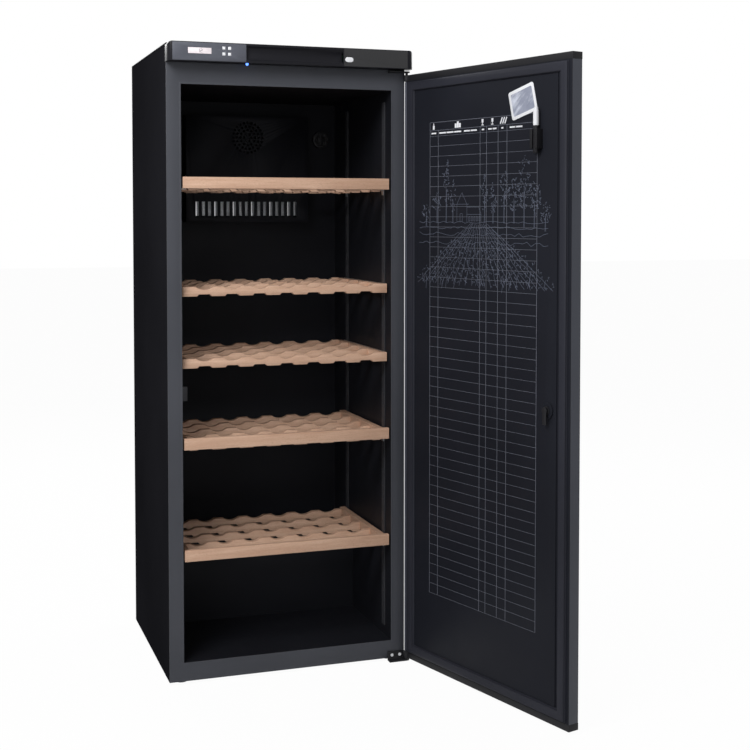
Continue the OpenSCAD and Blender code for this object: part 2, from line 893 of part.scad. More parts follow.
module grip_cup() {
    color(plastic_black) at_door() difference() {
        block([grip_x0 - grip_wall, grip_x0 + grip_w + grip_wall], [door_out, door_out + grip_d + grip_wall],
            [grip_z0 - grip_wall, grip_z0 + grip_h + grip_wall]);
        grip_hole(0);
    }
}

module lock_body() {
    color(zinc) at_door() difference() {
        union() {
            rod_y(lock_x, lock_z, [door_out, panel_y + 8], lock_r);
            rod_y(lock_x, lock_z, [door_out - 2.5, door_out], lock_r + 4);
        }
        rod_y(lock_x, lock_z, [door_out - 3, panel_y + 9], core_r + fit);
    }
}

// Key cylinder and the cam on its inner end
module lock_cam() {
    color(zinc) at_door() difference() {
        union() {
            rod_y(lock_x, lock_z, [door_out - 2.5, cam_y + 3], core_r);
            block([lock_x - 7, lock_x + 7], [cam_y, cam_y + 3], [lock_z - cam_len, lock_z]);
            rod_y(lock_x, lock_z, [cam_y, cam_y + 3], 9);
        }
        block([lock_x - 1, lock_x + 1], [door_out - 3, door_out + 10], [lock_z - 4, lock_z + 4]);
    }
}

module pen_clip() {
    color(plastic_black) at_door() difference() {
        block([pen_x - clip_half, pen_x + clip_half], [panel_y, panel_y + clip_d],
            [pen_z0 + clip_z[0], pen_z0 + clip_z[1]]);
        rod_z(pen_x, pen_y, [pen_z0, pen_z0 + clip_z[1] + 8], pen_r + 0.3);
        block([pen_x - 5, pen_x + 5], [pen_y, panel_y + clip_d + 1], [pen_z0, pen_z0 + clip_z[1] + 8]);
    }
}

module marker_pen() {
    color(white) at_door() union() {
        rod_z(pen_x, pen_y, [pen_z0, pen_z0 + pen_len], pen_r);
        rod_z(pen_x, pen_y, [pen_z0 + pen_len, pen_z0 + pen_len + pen_tip], pen_r - 2);
    }
}

// Thin magnetic label that hangs a little crooked
module label_magnet() {
    color([0.08, 0.08, 0.09]) at_door() translate([label_x, panel_y, label_z]) rotate([0, label_tilt, 0])
        translate([-label_size[0] / 2, 0, -label_size[2] / 2]) cube(label_size);
}

// ---------- feet ----------

module foot(x, y) {
    color(plastic_black) union() {
        rod_z(x, y, [0, foot_pad_h], foot_pad_r);
        rod_z(x, y, [foot_pad_h, foot_stem_top], foot_stem_r);
    }
}

module front_left_foot() {
    foot(-foot_x, -foot_y);
}

module front_right_foot() {
    foot(foot_x, -foot_y);
}

module rear_left_foot() {
    foot(-foot_x, foot_y);
}

module rear_right_foot() {
    foot(foot_x, foot_y);
}

base_frame();
outer_wrapper();
rear_panel();
foam_insulation();
inner_liner();
front_frame();
top_cover();
fascia();
control_panel();
display_window();
gloss_panel();
control_board();
button_up();
button_down();
button_set();
button_light();
power_switch();
blue_lamp_lens();
slotted_rails();
shelf_supports();
evaporator_cover();
evaporator();
fan_motor();
fan_rotor();
air_filter();
compressor();
condenser_coil();
drip_tray();
bay_cover();
power_inlet();
top_hinge();
bottom_hinge();
hinge_screws();
lock_striker();
shelf_1_frame();
shelf_1_slats();
shelf_4_frame();
shelf_4_slats();
shelf_5_frame();
shelf_5_slats();
shelf_2_rails();
shelf_2_slats();
shelf_3_rails();
shelf_3_slats();
door_skin();
door_foam();
door_inner_panel();
door_gasket();
door_top_cap();
door_bottom_cap();
grip_cup();
lock_body();
lock_cam();
pen_clip();
marker_pen();
label_magnet();
front_left_foot();
front_right_foot();
rear_left_foot();
rear_right_foot();
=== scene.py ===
import math
import random

import bmesh
import bpy
from mathutils import Matrix, Vector
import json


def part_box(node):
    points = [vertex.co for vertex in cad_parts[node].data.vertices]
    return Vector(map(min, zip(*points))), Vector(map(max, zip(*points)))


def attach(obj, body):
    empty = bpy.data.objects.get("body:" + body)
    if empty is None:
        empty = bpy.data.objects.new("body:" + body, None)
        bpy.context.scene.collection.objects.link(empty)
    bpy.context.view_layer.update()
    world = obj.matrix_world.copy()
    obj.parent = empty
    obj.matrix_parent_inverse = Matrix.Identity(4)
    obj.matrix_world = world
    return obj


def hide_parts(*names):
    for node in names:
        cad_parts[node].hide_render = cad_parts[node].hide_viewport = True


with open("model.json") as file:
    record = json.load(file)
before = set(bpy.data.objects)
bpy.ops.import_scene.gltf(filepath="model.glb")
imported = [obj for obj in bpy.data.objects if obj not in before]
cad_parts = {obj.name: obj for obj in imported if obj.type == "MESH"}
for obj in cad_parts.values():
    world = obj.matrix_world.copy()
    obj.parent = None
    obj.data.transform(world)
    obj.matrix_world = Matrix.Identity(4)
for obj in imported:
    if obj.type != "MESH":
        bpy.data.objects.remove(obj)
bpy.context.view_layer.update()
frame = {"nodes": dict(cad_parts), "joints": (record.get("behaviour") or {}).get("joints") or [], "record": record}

MM = 0.001


# ---------------------------------------------------------------- places from the frame

def joint(name):
    return next(j for j in frame["joints"] if j["name"] == name)


def low(node):
    return Vector(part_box(node)[0])


def high(node):
    return Vector(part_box(node)[1])


PIVOT = Vector(joint("door_hinge")["pos_m"])
DOOR_OPEN = -math.radians(joint("door_hinge")["range_deg"][0])
DOOR_TURN = (Matrix.Translation(PIVOT) @ Matrix.Rotation(DOOR_OPEN, 4, "Z")
             @ Matrix.Translation(-PIVOT))
CLOSED = DOOR_TURN.inverted()


def closed_box(node):
    """A door node's lowest and highest corner with the door closed."""
    points = [CLOSED @ v.co for v in frame["nodes"][node].data.vertices]
    return (Vector([min(p[i] for p in points) for i in range(3)]),
            Vector([max(p[i] for p in points) for i in range(3)]))


skin_lo, skin_hi = closed_box("door_skin")
panel_hi = closed_box("door_inner_panel")[1]
label_lo, label_hi = closed_box("label_magnet")
# The lock boss stands this far above the flat of the inner panel.
LOCK_BOSS = 5 * MM
LIP_RISE = 0.6 * MM
SEAL_GAP = 0.3 * MM
PANEL_Y = panel_hi.y - LOCK_BOSS
HINGE_EDGE = skin_hi.x


# ---------------------------------------------------------------- node materials

class Nodes:
    """A short way to wire a material."""

    def __init__(self, name):
        self.mat = bpy.data.materials.new(name)
        self.mat.use_nodes = True
        self.tree = self.mat.node_tree
        self.shader = self.tree.nodes["Principled BSDF"]
        self.where = self.add("ShaderNodeTexCoord").outputs["Object"]

    def add(self, kind, **settings):
        node = self.tree.nodes.new(kind)
        for key, value in settings.items():
            setattr(node, key, value)
        return node

    def link(self, source, target):
        self.tree.links.new(source, target)

    def noise(self, scale, detail=3.0, stretch=(1, 1, 1), rough=0.5):
        mapping = self.add("ShaderNodeMapping")
        mapping.inputs["Scale"].default_value = stretch
        self.link(self.where, mapping.inputs["Vector"])
        node = self.add("ShaderNodeTexNoise")
        node.inputs["Scale"].default_value = scale
        node.inputs["Detail"].default_value = detail
        node.inputs["Roughness"].default_value = rough
        self.link(mapping.outputs["Vector"], node.inputs["Vector"])
        return node.outputs["Fac"]

    def ramp(self, fac, stops):
        node = self.add("ShaderNodeValToRGB")
        ramp = node.color_ramp
        while len(ramp.elements) < len(stops):
            ramp.elements.new(0.5)
        for element, (place, colour) in zip(ramp.elements, stops):
            element.position = place
            element.color = colour if len(colour) == 4 else (*colour, 1)
        self.link(fac, node.inputs["Fac"])
        return node.outputs["Color"]

    def spread(self, fac, start, end, low_value, high_value):
        node = self.add("ShaderNodeMapRange")
        values = (start, end, low_value, high_value)
        for key, value in zip(("From Min", "From Max", "To Min", "To Max"), values):
            node.inputs[key].default_value = value
        self.link(fac, node.inputs["Value"])
        return node.outputs["Result"]

    def mix(self, fac, a, b):
        node = self.add("ShaderNodeMix", data_type="RGBA", blend_type="MIX")
        for value, socket in ((fac, node.inputs[0]), (a, node.inputs[6]), (b, node.inputs[7])):
            if isinstance(value, (int, float)):
                socket.default_value = value
            elif isinstance(value, tuple):
                socket.default_value = value if len(value) == 4 else (*value, 1)
            else:
                self.link(value, socket)
        return node.outputs[2]

    def edge(self, radius):
        """How much the surface turns within a radius: 0 on flats, up to 1 on edges."""
        bevel = self.add("ShaderNodeBevel", samples=4)
        bevel.inputs["Radius"].default_value = radius
        geometry = self.add("ShaderNodeNewGeometry")
        dot = self.add("ShaderNodeVectorMath", operation="DOT_PRODUCT")
        self.link(bevel.outputs["Normal"], dot.inputs[0])
        self.link(geometry.outputs["Normal"], dot.inputs[1])
        return self.spread(dot.outputs["Value"], 1.0, 0.85, 0.0, 1.0)

    def bump(self, height, strength, distance):
        node = self.add("ShaderNodeBump")
        node.inputs["Strength"].default_value = strength
        node.inputs["Distance"].default_value = distance
        self.link(height, node.inputs["Height"])
        self.link(node.outputs["Normal"], self.shader.inputs["Normal"])

    def set(self, **values):
        for key, value in values.items():
            self.shader.inputs[key.replace("_", " ")].default_value = value


def finish_coat(name, colour, rough, grain, grain_depth, edge_tint, spec):
    """Paint or moulded plastic: cloudy colour, fine grain, handled sheen and slightly rubbed edges."""
    n = Nodes(name)
    dark = tuple(c * 0.86 for c in colour)
    light = tuple(c * 1.16 for c in colour)
    rubbed = tuple(min(1.0, c + (0.35 - c) * edge_tint) for c in colour)
    base = n.ramp(n.noise(2.3, 4), [(0.3, dark), (0.7, light)])
    specks = n.spread(n.noise(grain, 2), 0.35, 0.65, 0.0, 1.0)
    base = n.mix(n.spread(specks, 0, 1, 0.0, 0.10), base, light)
    base = n.mix(n.spread(n.edge(1.2 * MM), 0, 1, 0.0, 0.6), base, rubbed)
    n.link(base, n.shader.inputs["Base Color"])
    smudge = n.spread(n.noise(6.0, 6, rough=0.65), 0.3, 0.7, rough - 0.05, rough + 0.07)
    n.link(smudge, n.shader.inputs["Roughness"])
    n.bump(n.noise(grain, 2), 0.35, grain_depth)
    n.set(Specular_IOR_Level=spec)
    return n.mat


def plated_steel(name, colour, rough, along=(1, 1, 1)):
    n = Nodes(name)
    dark = tuple(c * 0.92 for c in colour)
    base = n.ramp(n.noise(35, 5), [(0.2, dark), (0.8, colour)])
    n.link(base, n.shader.inputs["Base Color"])
    streak = n.noise(260, 3, along)
    n.link(n.spread(streak, 0.3, 0.7, rough - 0.08, rough + 0.12), n.shader.inputs["Roughness"])
    n.bump(streak, 0.2, 0.05 * MM)
    n.set(Metallic=1.0)
    return n.mat


def beech(name, along):
    """Steamed beech: pale pink-brown with soft bands, fine pores and short dark flecks along the grain."""
    n = Nodes(name)
    other = [1 if axis == along else 14 for axis in "xyz"]
    fleck = [1 if axis == along else 7 for axis in "xyz"]
    board = n.ramp(n.noise(5, 2, tuple(other)), [(0.25, (0.56, 0.35, 0.245)), (0.75, (0.70, 0.475, 0.345))])
    band = n.noise(16, 5, tuple(other), 0.6)
    base = n.mix(n.spread(band, 0.35, 0.7, 0.0, 0.55), board, (0.52, 0.31, 0.205))
    flecks = n.spread(n.noise(230, 2, tuple(fleck)), 0.60, 0.68, 0.0, 0.55)
    base = n.mix(flecks, base, (0.30, 0.155, 0.09))
    pores = n.spread(n.noise(900, 2, tuple(fleck)), 0.62, 0.72, 0.0, 0.35)
    base = n.mix(pores, base, (0.24, 0.12, 0.07))
    base = n.mix(n.spread(n.edge(1.0 * MM), 0, 1, 0.0, 0.35), base, (0.66, 0.45, 0.32))
    n.link(base, n.shader.inputs["Base Color"])
    n.link(n.spread(band, 0.3, 0.7, 0.42, 0.58), n.shader.inputs["Roughness"])
    n.bump(n.noise(420, 3, tuple(fleck)), 0.3, 0.12 * MM)
    n.set(Specular_IOR_Level=0.35)
    return n.mat


def lit(name, colour, strength, seed_scale):
    """A glowing diffuser whose light is a little uneven."""
    n = Nodes(name)
    glow = n.ramp(n.noise(seed_scale, 2), [(0.3, tuple(c * 0.82 for c in colour)), (0.7, colour)])
    n.link(glow, n.shader.inputs["Base Color"])
    n.link(glow, n.shader.inputs["Emission Color"])
    n.link(n.spread(n.noise(90, 2), 0.3, 0.7, 0.20, 0.32), n.shader.inputs["Roughness"])
    n.set(Emission_Strength=strength)
    return n.mat


M = {
    "side_paint": finish_coat("side_paint", (0.0125, 0.0125, 0.0150), 0.60, 900, 0.10 * MM, 0.05, 0.0),
    "door_paint": finish_coat("door_paint", (0.0125, 0.0125, 0.015), 0.50, 900, 0.10 * MM, 0.08, 0.15),
    # painted highlight: a lighter grey-blue for the door's free-edge face, standing in for the light along its
    # rounded edge
    "free_edge_highlight_paint": finish_coat("free_edge_highlight_paint", (0.050, 0.054, 0.068), 0.40, 900, 0.06 * MM, 0.20, 0.30),
    "frame_paint": finish_coat("frame_paint", (0.056, 0.059, 0.070), 0.42, 800, 0.08 * MM, 0.15, 0.20),
    "fascia_black": finish_coat("fascia_black", (0.010, 0.010, 0.013), 0.34, 1400, 0.02 * MM, 0.06, 0.10),
    "fascia_grey": finish_coat("fascia_grey", (0.092, 0.097, 0.118), 0.38, 1500, 0.04 * MM, 0.10, 0.25),
    "gloss_black": finish_coat("gloss_black", (0.009, 0.009, 0.011), 0.20, 700, 0.004 * MM, 0.04, 0.45),
    "black_plastic": finish_coat("black_plastic", (0.010, 0.010, 0.012), 0.46, 1500, 0.06 * MM, 0.08, 0.20),
    "liner": finish_coat("liner", (0.009, 0.0095, 0.0125), 0.48, 1100, 0.05 * MM, 0.06, 0.10),
    "rail_plastic": finish_coat("rail_plastic", (0.034, 0.035, 0.040), 0.40, 1300, 0.03 * MM, 0.10, 0.25),
    "panel_plastic": finish_coat("panel_plastic", (0.0125, 0.0135, 0.0185),
                                 0.48, 1000, 0.05 * MM, 0.06, 0.05),
    # painted highlight: lighter grey for the door's rolled hinge edge, standing in for the light along it
    "hinge_highlight_grey": finish_coat("hinge_highlight_grey", (0.060, 0.064, 0.082), 0.48, 1300, 0.03 * MM, 0.10, 0.06),
    "rubber": finish_coat("rubber", (0.021, 0.022, 0.030), 0.55, 1800, 0.05 * MM, 0.08, 0.12),
    "white_plastic": finish_coat("white_plastic", (0.80, 0.81, 0.84), 0.28, 1600, 0.01 * MM, 0.0, 0.5),
    "line_ink": finish_coat("line_ink", (0.155, 0.165, 0.200), 0.55, 1500, 0.01 * MM, 0.0, 0.1),
    "chalk_ink": finish_coat("chalk_ink", (0.120, 0.135, 0.180), 0.60, 1500, 0.01 * MM, 0.0, 0.1),
    "bright_ink": finish_coat("bright_ink", (0.72, 0.73, 0.77), 0.55, 1500, 0.01 * MM, 0.0, 0.2),
    "digit_ink": finish_coat("digit_ink", (0.24, 0.22, 0.25), 0.50, 1500, 0.01 * MM, 0.0, 0.2),
    "board_green": finish_coat("board_green", (0.020, 0.11, 0.05), 0.35, 600, 0.02 * MM, 0.05, 0.5),
    "foam": finish_coat("foam", (0.70, 0.58, 0.32), 0.9, 500, 0.4 * MM, 0.0, 0.1),
    "zinc": plated_steel("zinc", (0.62, 0.63, 0.65), 0.34, (1, 1, 6)),
    "back_steel": plated_steel("back_steel", (0.30, 0.31, 0.33), 0.50, (6, 1, 1)),
    "fins": plated_steel("fins", (0.72, 0.73, 0.75), 0.30, (6, 1, 1)),
    "copper": plated_steel("copper", (0.72, 0.40, 0.26), 0.32, (1, 6, 6)),
    "beech_x": beech("beech_x", "x"),
    "beech_y": beech("beech_y", "y"),
    "display_glow": lit("display_glow", (0.66, 0.60, 0.62), 0.50, 30),
    "blue_glow": lit("blue_glow", (0.10, 0.25, 1.0), 3.0, 60),
}


# ---------------------------------------------------------------- mesh helpers

def new_object(name, mesh, material, body):
    obj = bpy.data.objects.new(name, mesh)
    bpy.context.scene.collection.objects.link(obj)
    mesh.materials.clear()
    mesh.materials.append(M[material])
    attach(obj, body)
    return obj


def smooth(mesh, angle=35):
    mesh.shade_smooth()
    mesh.set_sharp_from_angle(angle=math.radians(angle))


def body_of(node):
    bodies = frame["record"]["behaviour"]["bodies"]
    return next(body for body, nodes in bodies.items() if node in nodes)


def rounded(mesh, width, segments, angle=30):
    """Rounds every edge sharper than the angle with a real bevel."""
    obj = bpy.data.objects.new("work", mesh)
    bpy.context.scene.collection.objects.link(obj)
    bevel = obj.modifiers.new("bevel", "BEVEL")
    bevel.width = width
    bevel.segments = segments
    bevel.limit_method = "ANGLE"
    bevel.angle_limit = math.radians(angle)
    bevel.use_clamp_overlap = True
    depsgraph = bpy.context.evaluated_depsgraph_get()
    done = bpy.data.meshes.new_from_object(obj.evaluated_get(depsgraph))
    bpy.data.objects.remove(obj)
    smooth(done, 40)
    return done


def softened(node, width, material, segments=2):
    """Stands for a CAD node with the same shape and rounded edges."""
    bm = bmesh.new()
    bm.from_mesh(frame["nodes"][node].data)
    bmesh.ops.remove_doubles(bm, verts=bm.verts, dist=2e-6)
    bmesh.ops.dissolve_limit(bm, angle_limit=math.radians(0.6), verts=bm.verts, edges=bm.edges)
    bmesh.ops.recalc_face_normals(bm, faces=bm.faces)
    mesh = bpy.data.meshes.new(node + "_shape")
    bm.to_mesh(mesh)
    bm.free()
    if "custom_normal" in mesh.attributes:
        mesh.attributes.remove(mesh.attributes["custom_normal"])
    obj = new_object(node + "_finish", rounded(mesh, width, segments), material,
                     body_of(node))
    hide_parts(node)
    return obj


def dress(node, material):
    """Gives a CAD node that stays its material."""
    mesh = frame["nodes"][node].data
    mesh.materials.clear()
    mesh.materials.append(M[material])


def add_block(bm, lo, hi):
    """A closed block between two corners."""
    middle = (Vector(lo) + Vector(hi)) / 2
    size = Vector(hi) - Vector(lo)
    bmesh.ops.create_cube(bm, size=1, matrix=Matrix.Translation(middle) @ Matrix.Diagonal((*size, 1)))


def add_lathe(bm, profile, centre, axis, steps=48):
    """A closed turned solid: profile is [(distance along the axis, radius)], from end to end."""
    turn = axis.to_track_quat("Z", "Y").to_matrix().to_4x4()
    place = Matrix.Translation(centre) @ turn
    rings = []
    for along, radius in profile:
        ring = [bm.verts.new(place @ Vector((radius * math.cos(a), radius * math.sin(a), along)))
                for a in (2 * math.pi * i / steps for i in range(steps))]
        rings.append(ring)
    for a, b in zip(rings, rings[1:]):
        for i in range(steps):
            bm.faces.new((a[i], a[(i + 1) % steps], b[(i + 1) % steps], b[i]))
    bm.faces.new(list(reversed(rings[0])))
    bm.faces.new(rings[-1])


def mesh_from(bm, name, transform=None):
    bmesh.ops.recalc_face_normals(bm, faces=bm.faces)
    if transform is not None:
        bmesh.ops.transform(bm, matrix=transform, verts=bm.verts)
    mesh = bpy.data.meshes.new(name)
    bm.to_mesh(mesh)
    bm.free()
    return mesh


def frame_sweep(name, x, z, profile, transform, y0):
    """Sweeps a closed profile of (inward, out) points round an upright rectangle with mitred corners."""
    bm = bmesh.new()
    rings = []
    for sx, sz in ((0, 0), (1, 0), (1, 1), (0, 1)):
        rings.append([bm.verts.new((x[sx] + (1 - 2 * sx) * inward, y0 + out, z[sz] + (1 - 2 * sz) * inward))
                      for inward, out in profile])
    count = len(profile)
    for a, b in zip(rings, rings[1:] + rings[:1]):
        for i in range(count):
            bm.faces.new((a[i], a[(i + 1) % count], b[(i + 1) % count], b[i]))
    return mesh_from(bm, name, transform)


# ---------------------------------------------------------------- cabinet

def make_cabinet():
    softened("outer_wrapper", 0.45 * MM, "side_paint")
    softened("front_frame", 0.8 * MM, "frame_paint")
    softened("top_cover", 1.5 * MM, "side_paint", 3)
    softened("base_frame", 0.6 * MM, "side_paint")
    dress("inner_liner", "liner")
    dress("foam_insulation", "foam")
    softened("rear_panel", 0.3 * MM, "back_steel")
    softened("bay_cover", 0.3 * MM, "side_paint")
    for node in ("front_left_foot", "front_right_foot", "rear_left_foot", "rear_right_foot"):
        softened(node, 0.8 * MM, "black_plastic")
    opening_lip()


def opening_lip():
    """The liner's flange, folded over the frame all round the opening."""
    lo, hi = low("inner_liner"), high("inner_liner")
    wall = 2 * MM
    width, rise = 5 * MM, LIP_RISE
    profile = [(-width, 0), (-width, -rise * 0.6), (-width + 1 * MM, -rise), (-1 * MM, -rise),
               (0, -rise * 0.6), (0, 0.5 * MM)]
    mesh = frame_sweep("opening_lip", (lo.x + wall, hi.x - wall), (lo.z + wall, hi.z - wall),
                       profile, None, low("front_frame").y)
    smooth(mesh, 60)
    new_object("opening_lip", mesh, "frame_paint", "cabinet")


def make_fascia():
    softened("fascia", 1.0 * MM, "fascia_black", 3)
    softened("control_panel", 0.35 * MM, "fascia_grey")
    softened("gloss_panel", 0.35 * MM, "gloss_black")
    softened("display_window", 0.3 * MM, "display_glow")
    display_digits()
    softened("power_switch", 1.2 * MM, "white_plastic", 3)
    dress("blue_lamp_lens", "blue_glow")
    dress("control_board", "board_green")
    for node in ("button_up", "button_down", "button_set", "button_light"):
        softened(node, 0.8 * MM, "white_plastic", 3)


def display_digits():
    """Two plain seven-segment figures behind the display's window."""
    lo, hi = low("display_window"), high("display_window")
    tall = (hi.z - lo.z) * 0.56
    wide = tall * 0.55
    bar = tall * 0.13
    thick = 0.1 * MM
    segments = {"1": [((1, 0), (1, 1))],
                "2": [((0, 1), (1, 1)), ((1, 1), (1, 0.5)), ((1, 0.5), (0, 0.5)), ((0, 0.5), (0, 0)),
                      ((0, 0), (1, 0))]}
    bm = bmesh.new()
    middle = (lo + hi) / 2
    for place, figure in enumerate("12"):
        x0 = middle.x - wide * 1.25 + place * wide * 1.6
        for (ax, az), (bx, bz) in segments[figure]:
            a = Vector((x0 + ax * wide, 0, middle.z - tall / 2 + az * tall))
            b = Vector((x0 + bx * wide, 0, middle.z - tall / 2 + bz * tall))
            half = Vector((bar / 2, 0, bar / 2))
            corner_lo = Vector((min(a.x, b.x), 0, min(a.z, b.z))) - half
            corner_hi = Vector((max(a.x, b.x), 0, max(a.z, b.z))) + half
            add_block(bm, (corner_lo.x, lo.y - thick, corner_lo.z), (corner_hi.x, lo.y + thick, corner_hi.z))
    new_object("display_digits", mesh_from(bm, "digits"), "digit_ink", "cabinet")


def make_interior():
    dress("slotted_rails", "rail_plastic")
    dress("shelf_supports", "zinc")
    softened("evaporator_cover", 1.0 * MM, "liner")
    dress("evaporator", "fins")
    dress("fan_motor", "black_plastic")
    softened("fan_rotor", 0.4 * MM, "black_plastic")
    softened("air_filter", 0.8 * MM, "black_plastic")
    softened("lock_striker", 0.3 * MM, "black_plastic")
    for n in (1, 4, 5):
        softened(f"shelf_{n}_frame", 1.6 * MM, "beech_x", 3)
        softened(f"shelf_{n}_slats", 1.0 * MM, "beech_x")
    for n in (2, 3):
        softened(f"shelf_{n}_rails", 1.0 * MM, "beech_y")
        softened(f"shelf_{n}_slats", 1.0 * MM, "beech_x")


def make_bay():
    dress("compressor", "side_paint")
    dress("condenser_coil", "copper")
    dress("drip_tray", "black_plastic")
    softened("power_inlet", 0.5 * MM, "black_plastic")


def make_hinges():
    softened("top_hinge", 0.5 * MM, "black_plastic")
    softened("bottom_hinge", 0.5 * MM, "black_plastic")
    dress("hinge_screws", "zinc")


# ---------------------------------------------------------------- door

def make_door():
    skin = softened("door_skin", 0.9 * MM, "door_paint", 3)
    # painted highlight: the skin's faces toward the free edge get the lighter grey-blue in place of the light on
    # that edge
    skin.data.materials.append(M["free_edge_highlight_paint"])
    free_edge = DOOR_TURN.to_3x3() @ Vector((-1, 0, 0))
    for face in skin.data.polygons:
        if face.normal.dot(free_edge) > 0.8:
            face.material_index = 1
    hinge_bead()
    dress("door_foam", "foam")
    softened("door_inner_panel", 1.0 * MM, "panel_plastic", 3)
    softened("door_top_cap", 2.0 * MM, "black_plastic", 3)
    softened("door_bottom_cap", 2.0 * MM, "black_plastic", 3)
    softened("grip_cup", 0.6 * MM, "black_plastic")
    softened("lock_body", 0.6 * MM, "black_plastic")
    softened("lock_cam", 0.5 * MM, "black_plastic")
    softened("pen_clip", 1.0 * MM, "black_plastic", 3)
    make_gasket()
    make_label()
    make_pen()
    make_chart()


def hinge_bead():
    """The rolled edge of the skin, round the hinge line, coloured a lighter grey as a painted highlight along it.
    """
    r = 5 * MM
    bottom = Vector((PIVOT.x, PIVOT.y, skin_lo.z + 1 * MM))
    length = skin_hi.z - skin_lo.z - 2 * MM
    bm = bmesh.new()
    add_lathe(bm, [(0, r * 0.6), (0.8 * MM, r * 0.85), (2.5 * MM, r), (length - 2.5 * MM, r),
                   (length - 0.8 * MM, r * 0.85), (length, r * 0.6)], bottom, Vector((0, 0, 1)), 32)
    mesh = mesh_from(bm, "bead")
    smooth(mesh, 45)
    new_object("hinge_edge_bead", mesh, "hinge_highlight_grey", "door")


def make_gasket():
    """The magnetic seal: a flat foot, a narrow bellows and the magnet's tube, mitred at the corners."""
    lo, hi = closed_box("door_gasket")
    deep = min(hi.y, low("front_frame").y - LIP_RISE - SEAL_GAP) - lo.y
    width = 28 * MM
    profile = [(0, 0), (0, 2 * MM), (1.5 * MM, 3.5 * MM), (1 * MM, 5.5 * MM), (2 * MM, deep - 1.6 * MM),
               (4 * MM, deep - 0.3 * MM), (13 * MM, deep), (22 * MM, deep - 0.3 * MM),
               (24.5 * MM, deep - 1.6 * MM),
               (25 * MM, 4 * MM), (27 * MM, 2 * MM), (width, 0.8 * MM), (width, 0)]
    mesh = frame_sweep("gasket", (lo.x, hi.x), (lo.z, hi.z), profile, DOOR_TURN, lo.y)
    smooth(mesh, 50)
    obj = new_object("gasket", mesh, "rubber", "door")
    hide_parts("door_gasket")


LABEL_TILT = math.radians(14)


def label_plate(bm, half_w, half_h, radius, y0, y1, steps=8):
    """A plate with round corners, built flat on the door."""
    outline = []
    for cx, cz, start in ((1, 1, 0), (-1, 1, 90), (-1, -1, 180), (1, -1, 270)):
        for i in range(steps + 1):
            a = math.radians(start + 90 * i / steps)
            outline.append((cx * (half_w - radius) + radius * math.cos(a),
                            cz * (half_h - radius) + radius * math.sin(a)))
    low_ring = [bm.verts.new((x, y0, z)) for x, z in outline]
    high_ring = [bm.verts.new((x, y1, z)) for x, z in outline]
    bm.faces.new(low_ring)
    bm.faces.new(list(reversed(high_ring)))
    for i in range(len(outline)):
        j = (i + 1) % len(outline)
        bm.faces.new((low_ring[i], high_ring[i], high_ring[j], low_ring[j]))


def slate_material():
    """A writing sheet with wiped chalk over slate grey."""
    n = Nodes("slate")
    base = n.ramp(n.noise(40, 4), [(0.3, (0.21, 0.23, 0.30)), (0.7, (0.29, 0.31, 0.39))])
    tilt = n.add("ShaderNodeVectorRotate", rotation_type="X_AXIS")
    n.link(n.where, tilt.inputs["Vector"])
    tilt.inputs["Angle"].default_value = math.radians(40)
    n.where = tilt.outputs["Vector"]
    wipe = n.spread(n.noise(22, 5, (1, 0.25, 1.6), 0.7), 0.50, 0.64, 0.0, 0.85)
    base = n.mix(wipe, base, (0.62, 0.65, 0.74))
    n.link(base, n.shader.inputs["Base Color"])
    n.link(n.spread(n.noise(300, 3), 0.3, 0.7, 0.55, 0.75), n.shader.inputs["Roughness"])
    n.bump(n.noise(900, 2), 0.3, 0.03 * MM)
    return n.mat


def make_label():
    middle = (label_lo + label_hi) / 2
    base = (DOOR_TURN @ Matrix.Translation((middle.x, 0, middle.z)) @ Matrix.Rotation(LABEL_TILT, 4, "Y"))
    back, front = label_lo.y, label_hi.y
    half_w, half_h, border = 50 * MM, 38 * MM, 8.5 * MM
    bm = bmesh.new()
    label_plate(bm, half_w, half_h, 7 * MM, back, front - 0.4 * MM)
    body = new_object("label_sheet", rounded(mesh_from(bm, "label", base), 0.4 * MM, 2),
                      "white_plastic", "door")
    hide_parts("label_magnet")
    M["slate"] = slate_material()
    bm = bmesh.new()
    label_plate(bm, half_w - border, half_h - border, 4 * MM, front - 0.6 * MM, front - 0.2 * MM)
    new_object("label_slate", mesh_from(bm, "slate", base), "slate", "door")


def make_pen():
    lo, hi = low("marker_pen"), high("marker_pen")
    middle = (lo + hi) / 2
    length = hi.z - lo.z
    r = (hi.x - lo.x) / 2
    bm = bmesh.new()
    add_lathe(bm, [(0, r * 0.72), (0.8 * MM, r * 0.9), (2 * MM, r), (length * 0.58, r),
                   (length * 0.585, r * 0.93),
                   (length * 0.60, r * 0.93), (length * 0.605, r), (length - 9 * MM, r),
                   (length - 8 * MM, r * 0.78), (length - 1 * MM, r * 0.72), (length, r * 0.6)],
              Vector((middle.x, middle.y, lo.z)), Vector((0, 0, 1)))
    mesh = mesh_from(bm, "pen")
    smooth(mesh, 35)
    obj = new_object("marker", mesh, "black_plastic", "marker_pen")
    obj.data.materials.append(M["white_plastic"])
    cap_from = lo.z + length * 0.60
    for face in obj.data.polygons:
        if face.center.z > cap_from:
            face.material_index = 1
    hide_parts("marker_pen")


# The cellar log printed on the inner panel. u runs from the hinge edge, z up.

INK_RISE = 0.12 * MM


def stroke(bm, a, b, width):
    """One printed line between two (u, z) points, as a very thin closed bar on the panel."""
    a, b = Vector(a), Vector(b)
    along = b - a
    if along.length < 1e-6:
        return
    along.normalize()
    side = Vector((-along.y, along.x)) * width / 2
    corners = [a - side, b - side, b + side, a + side]
    bottom = [bm.verts.new((HINGE_EDGE - c.x, PANEL_Y - 0.05 * MM, c.y)) for c in corners]
    top = [bm.verts.new((HINGE_EDGE - c.x, PANEL_Y + INK_RISE, c.y)) for c in corners]
    bm.faces.new(bottom)
    bm.faces.new(list(reversed(top)))
    for i in range(4):
        j = (i + 1) % 4
        bm.faces.new((bottom[i], top[i], top[j], bottom[j]))


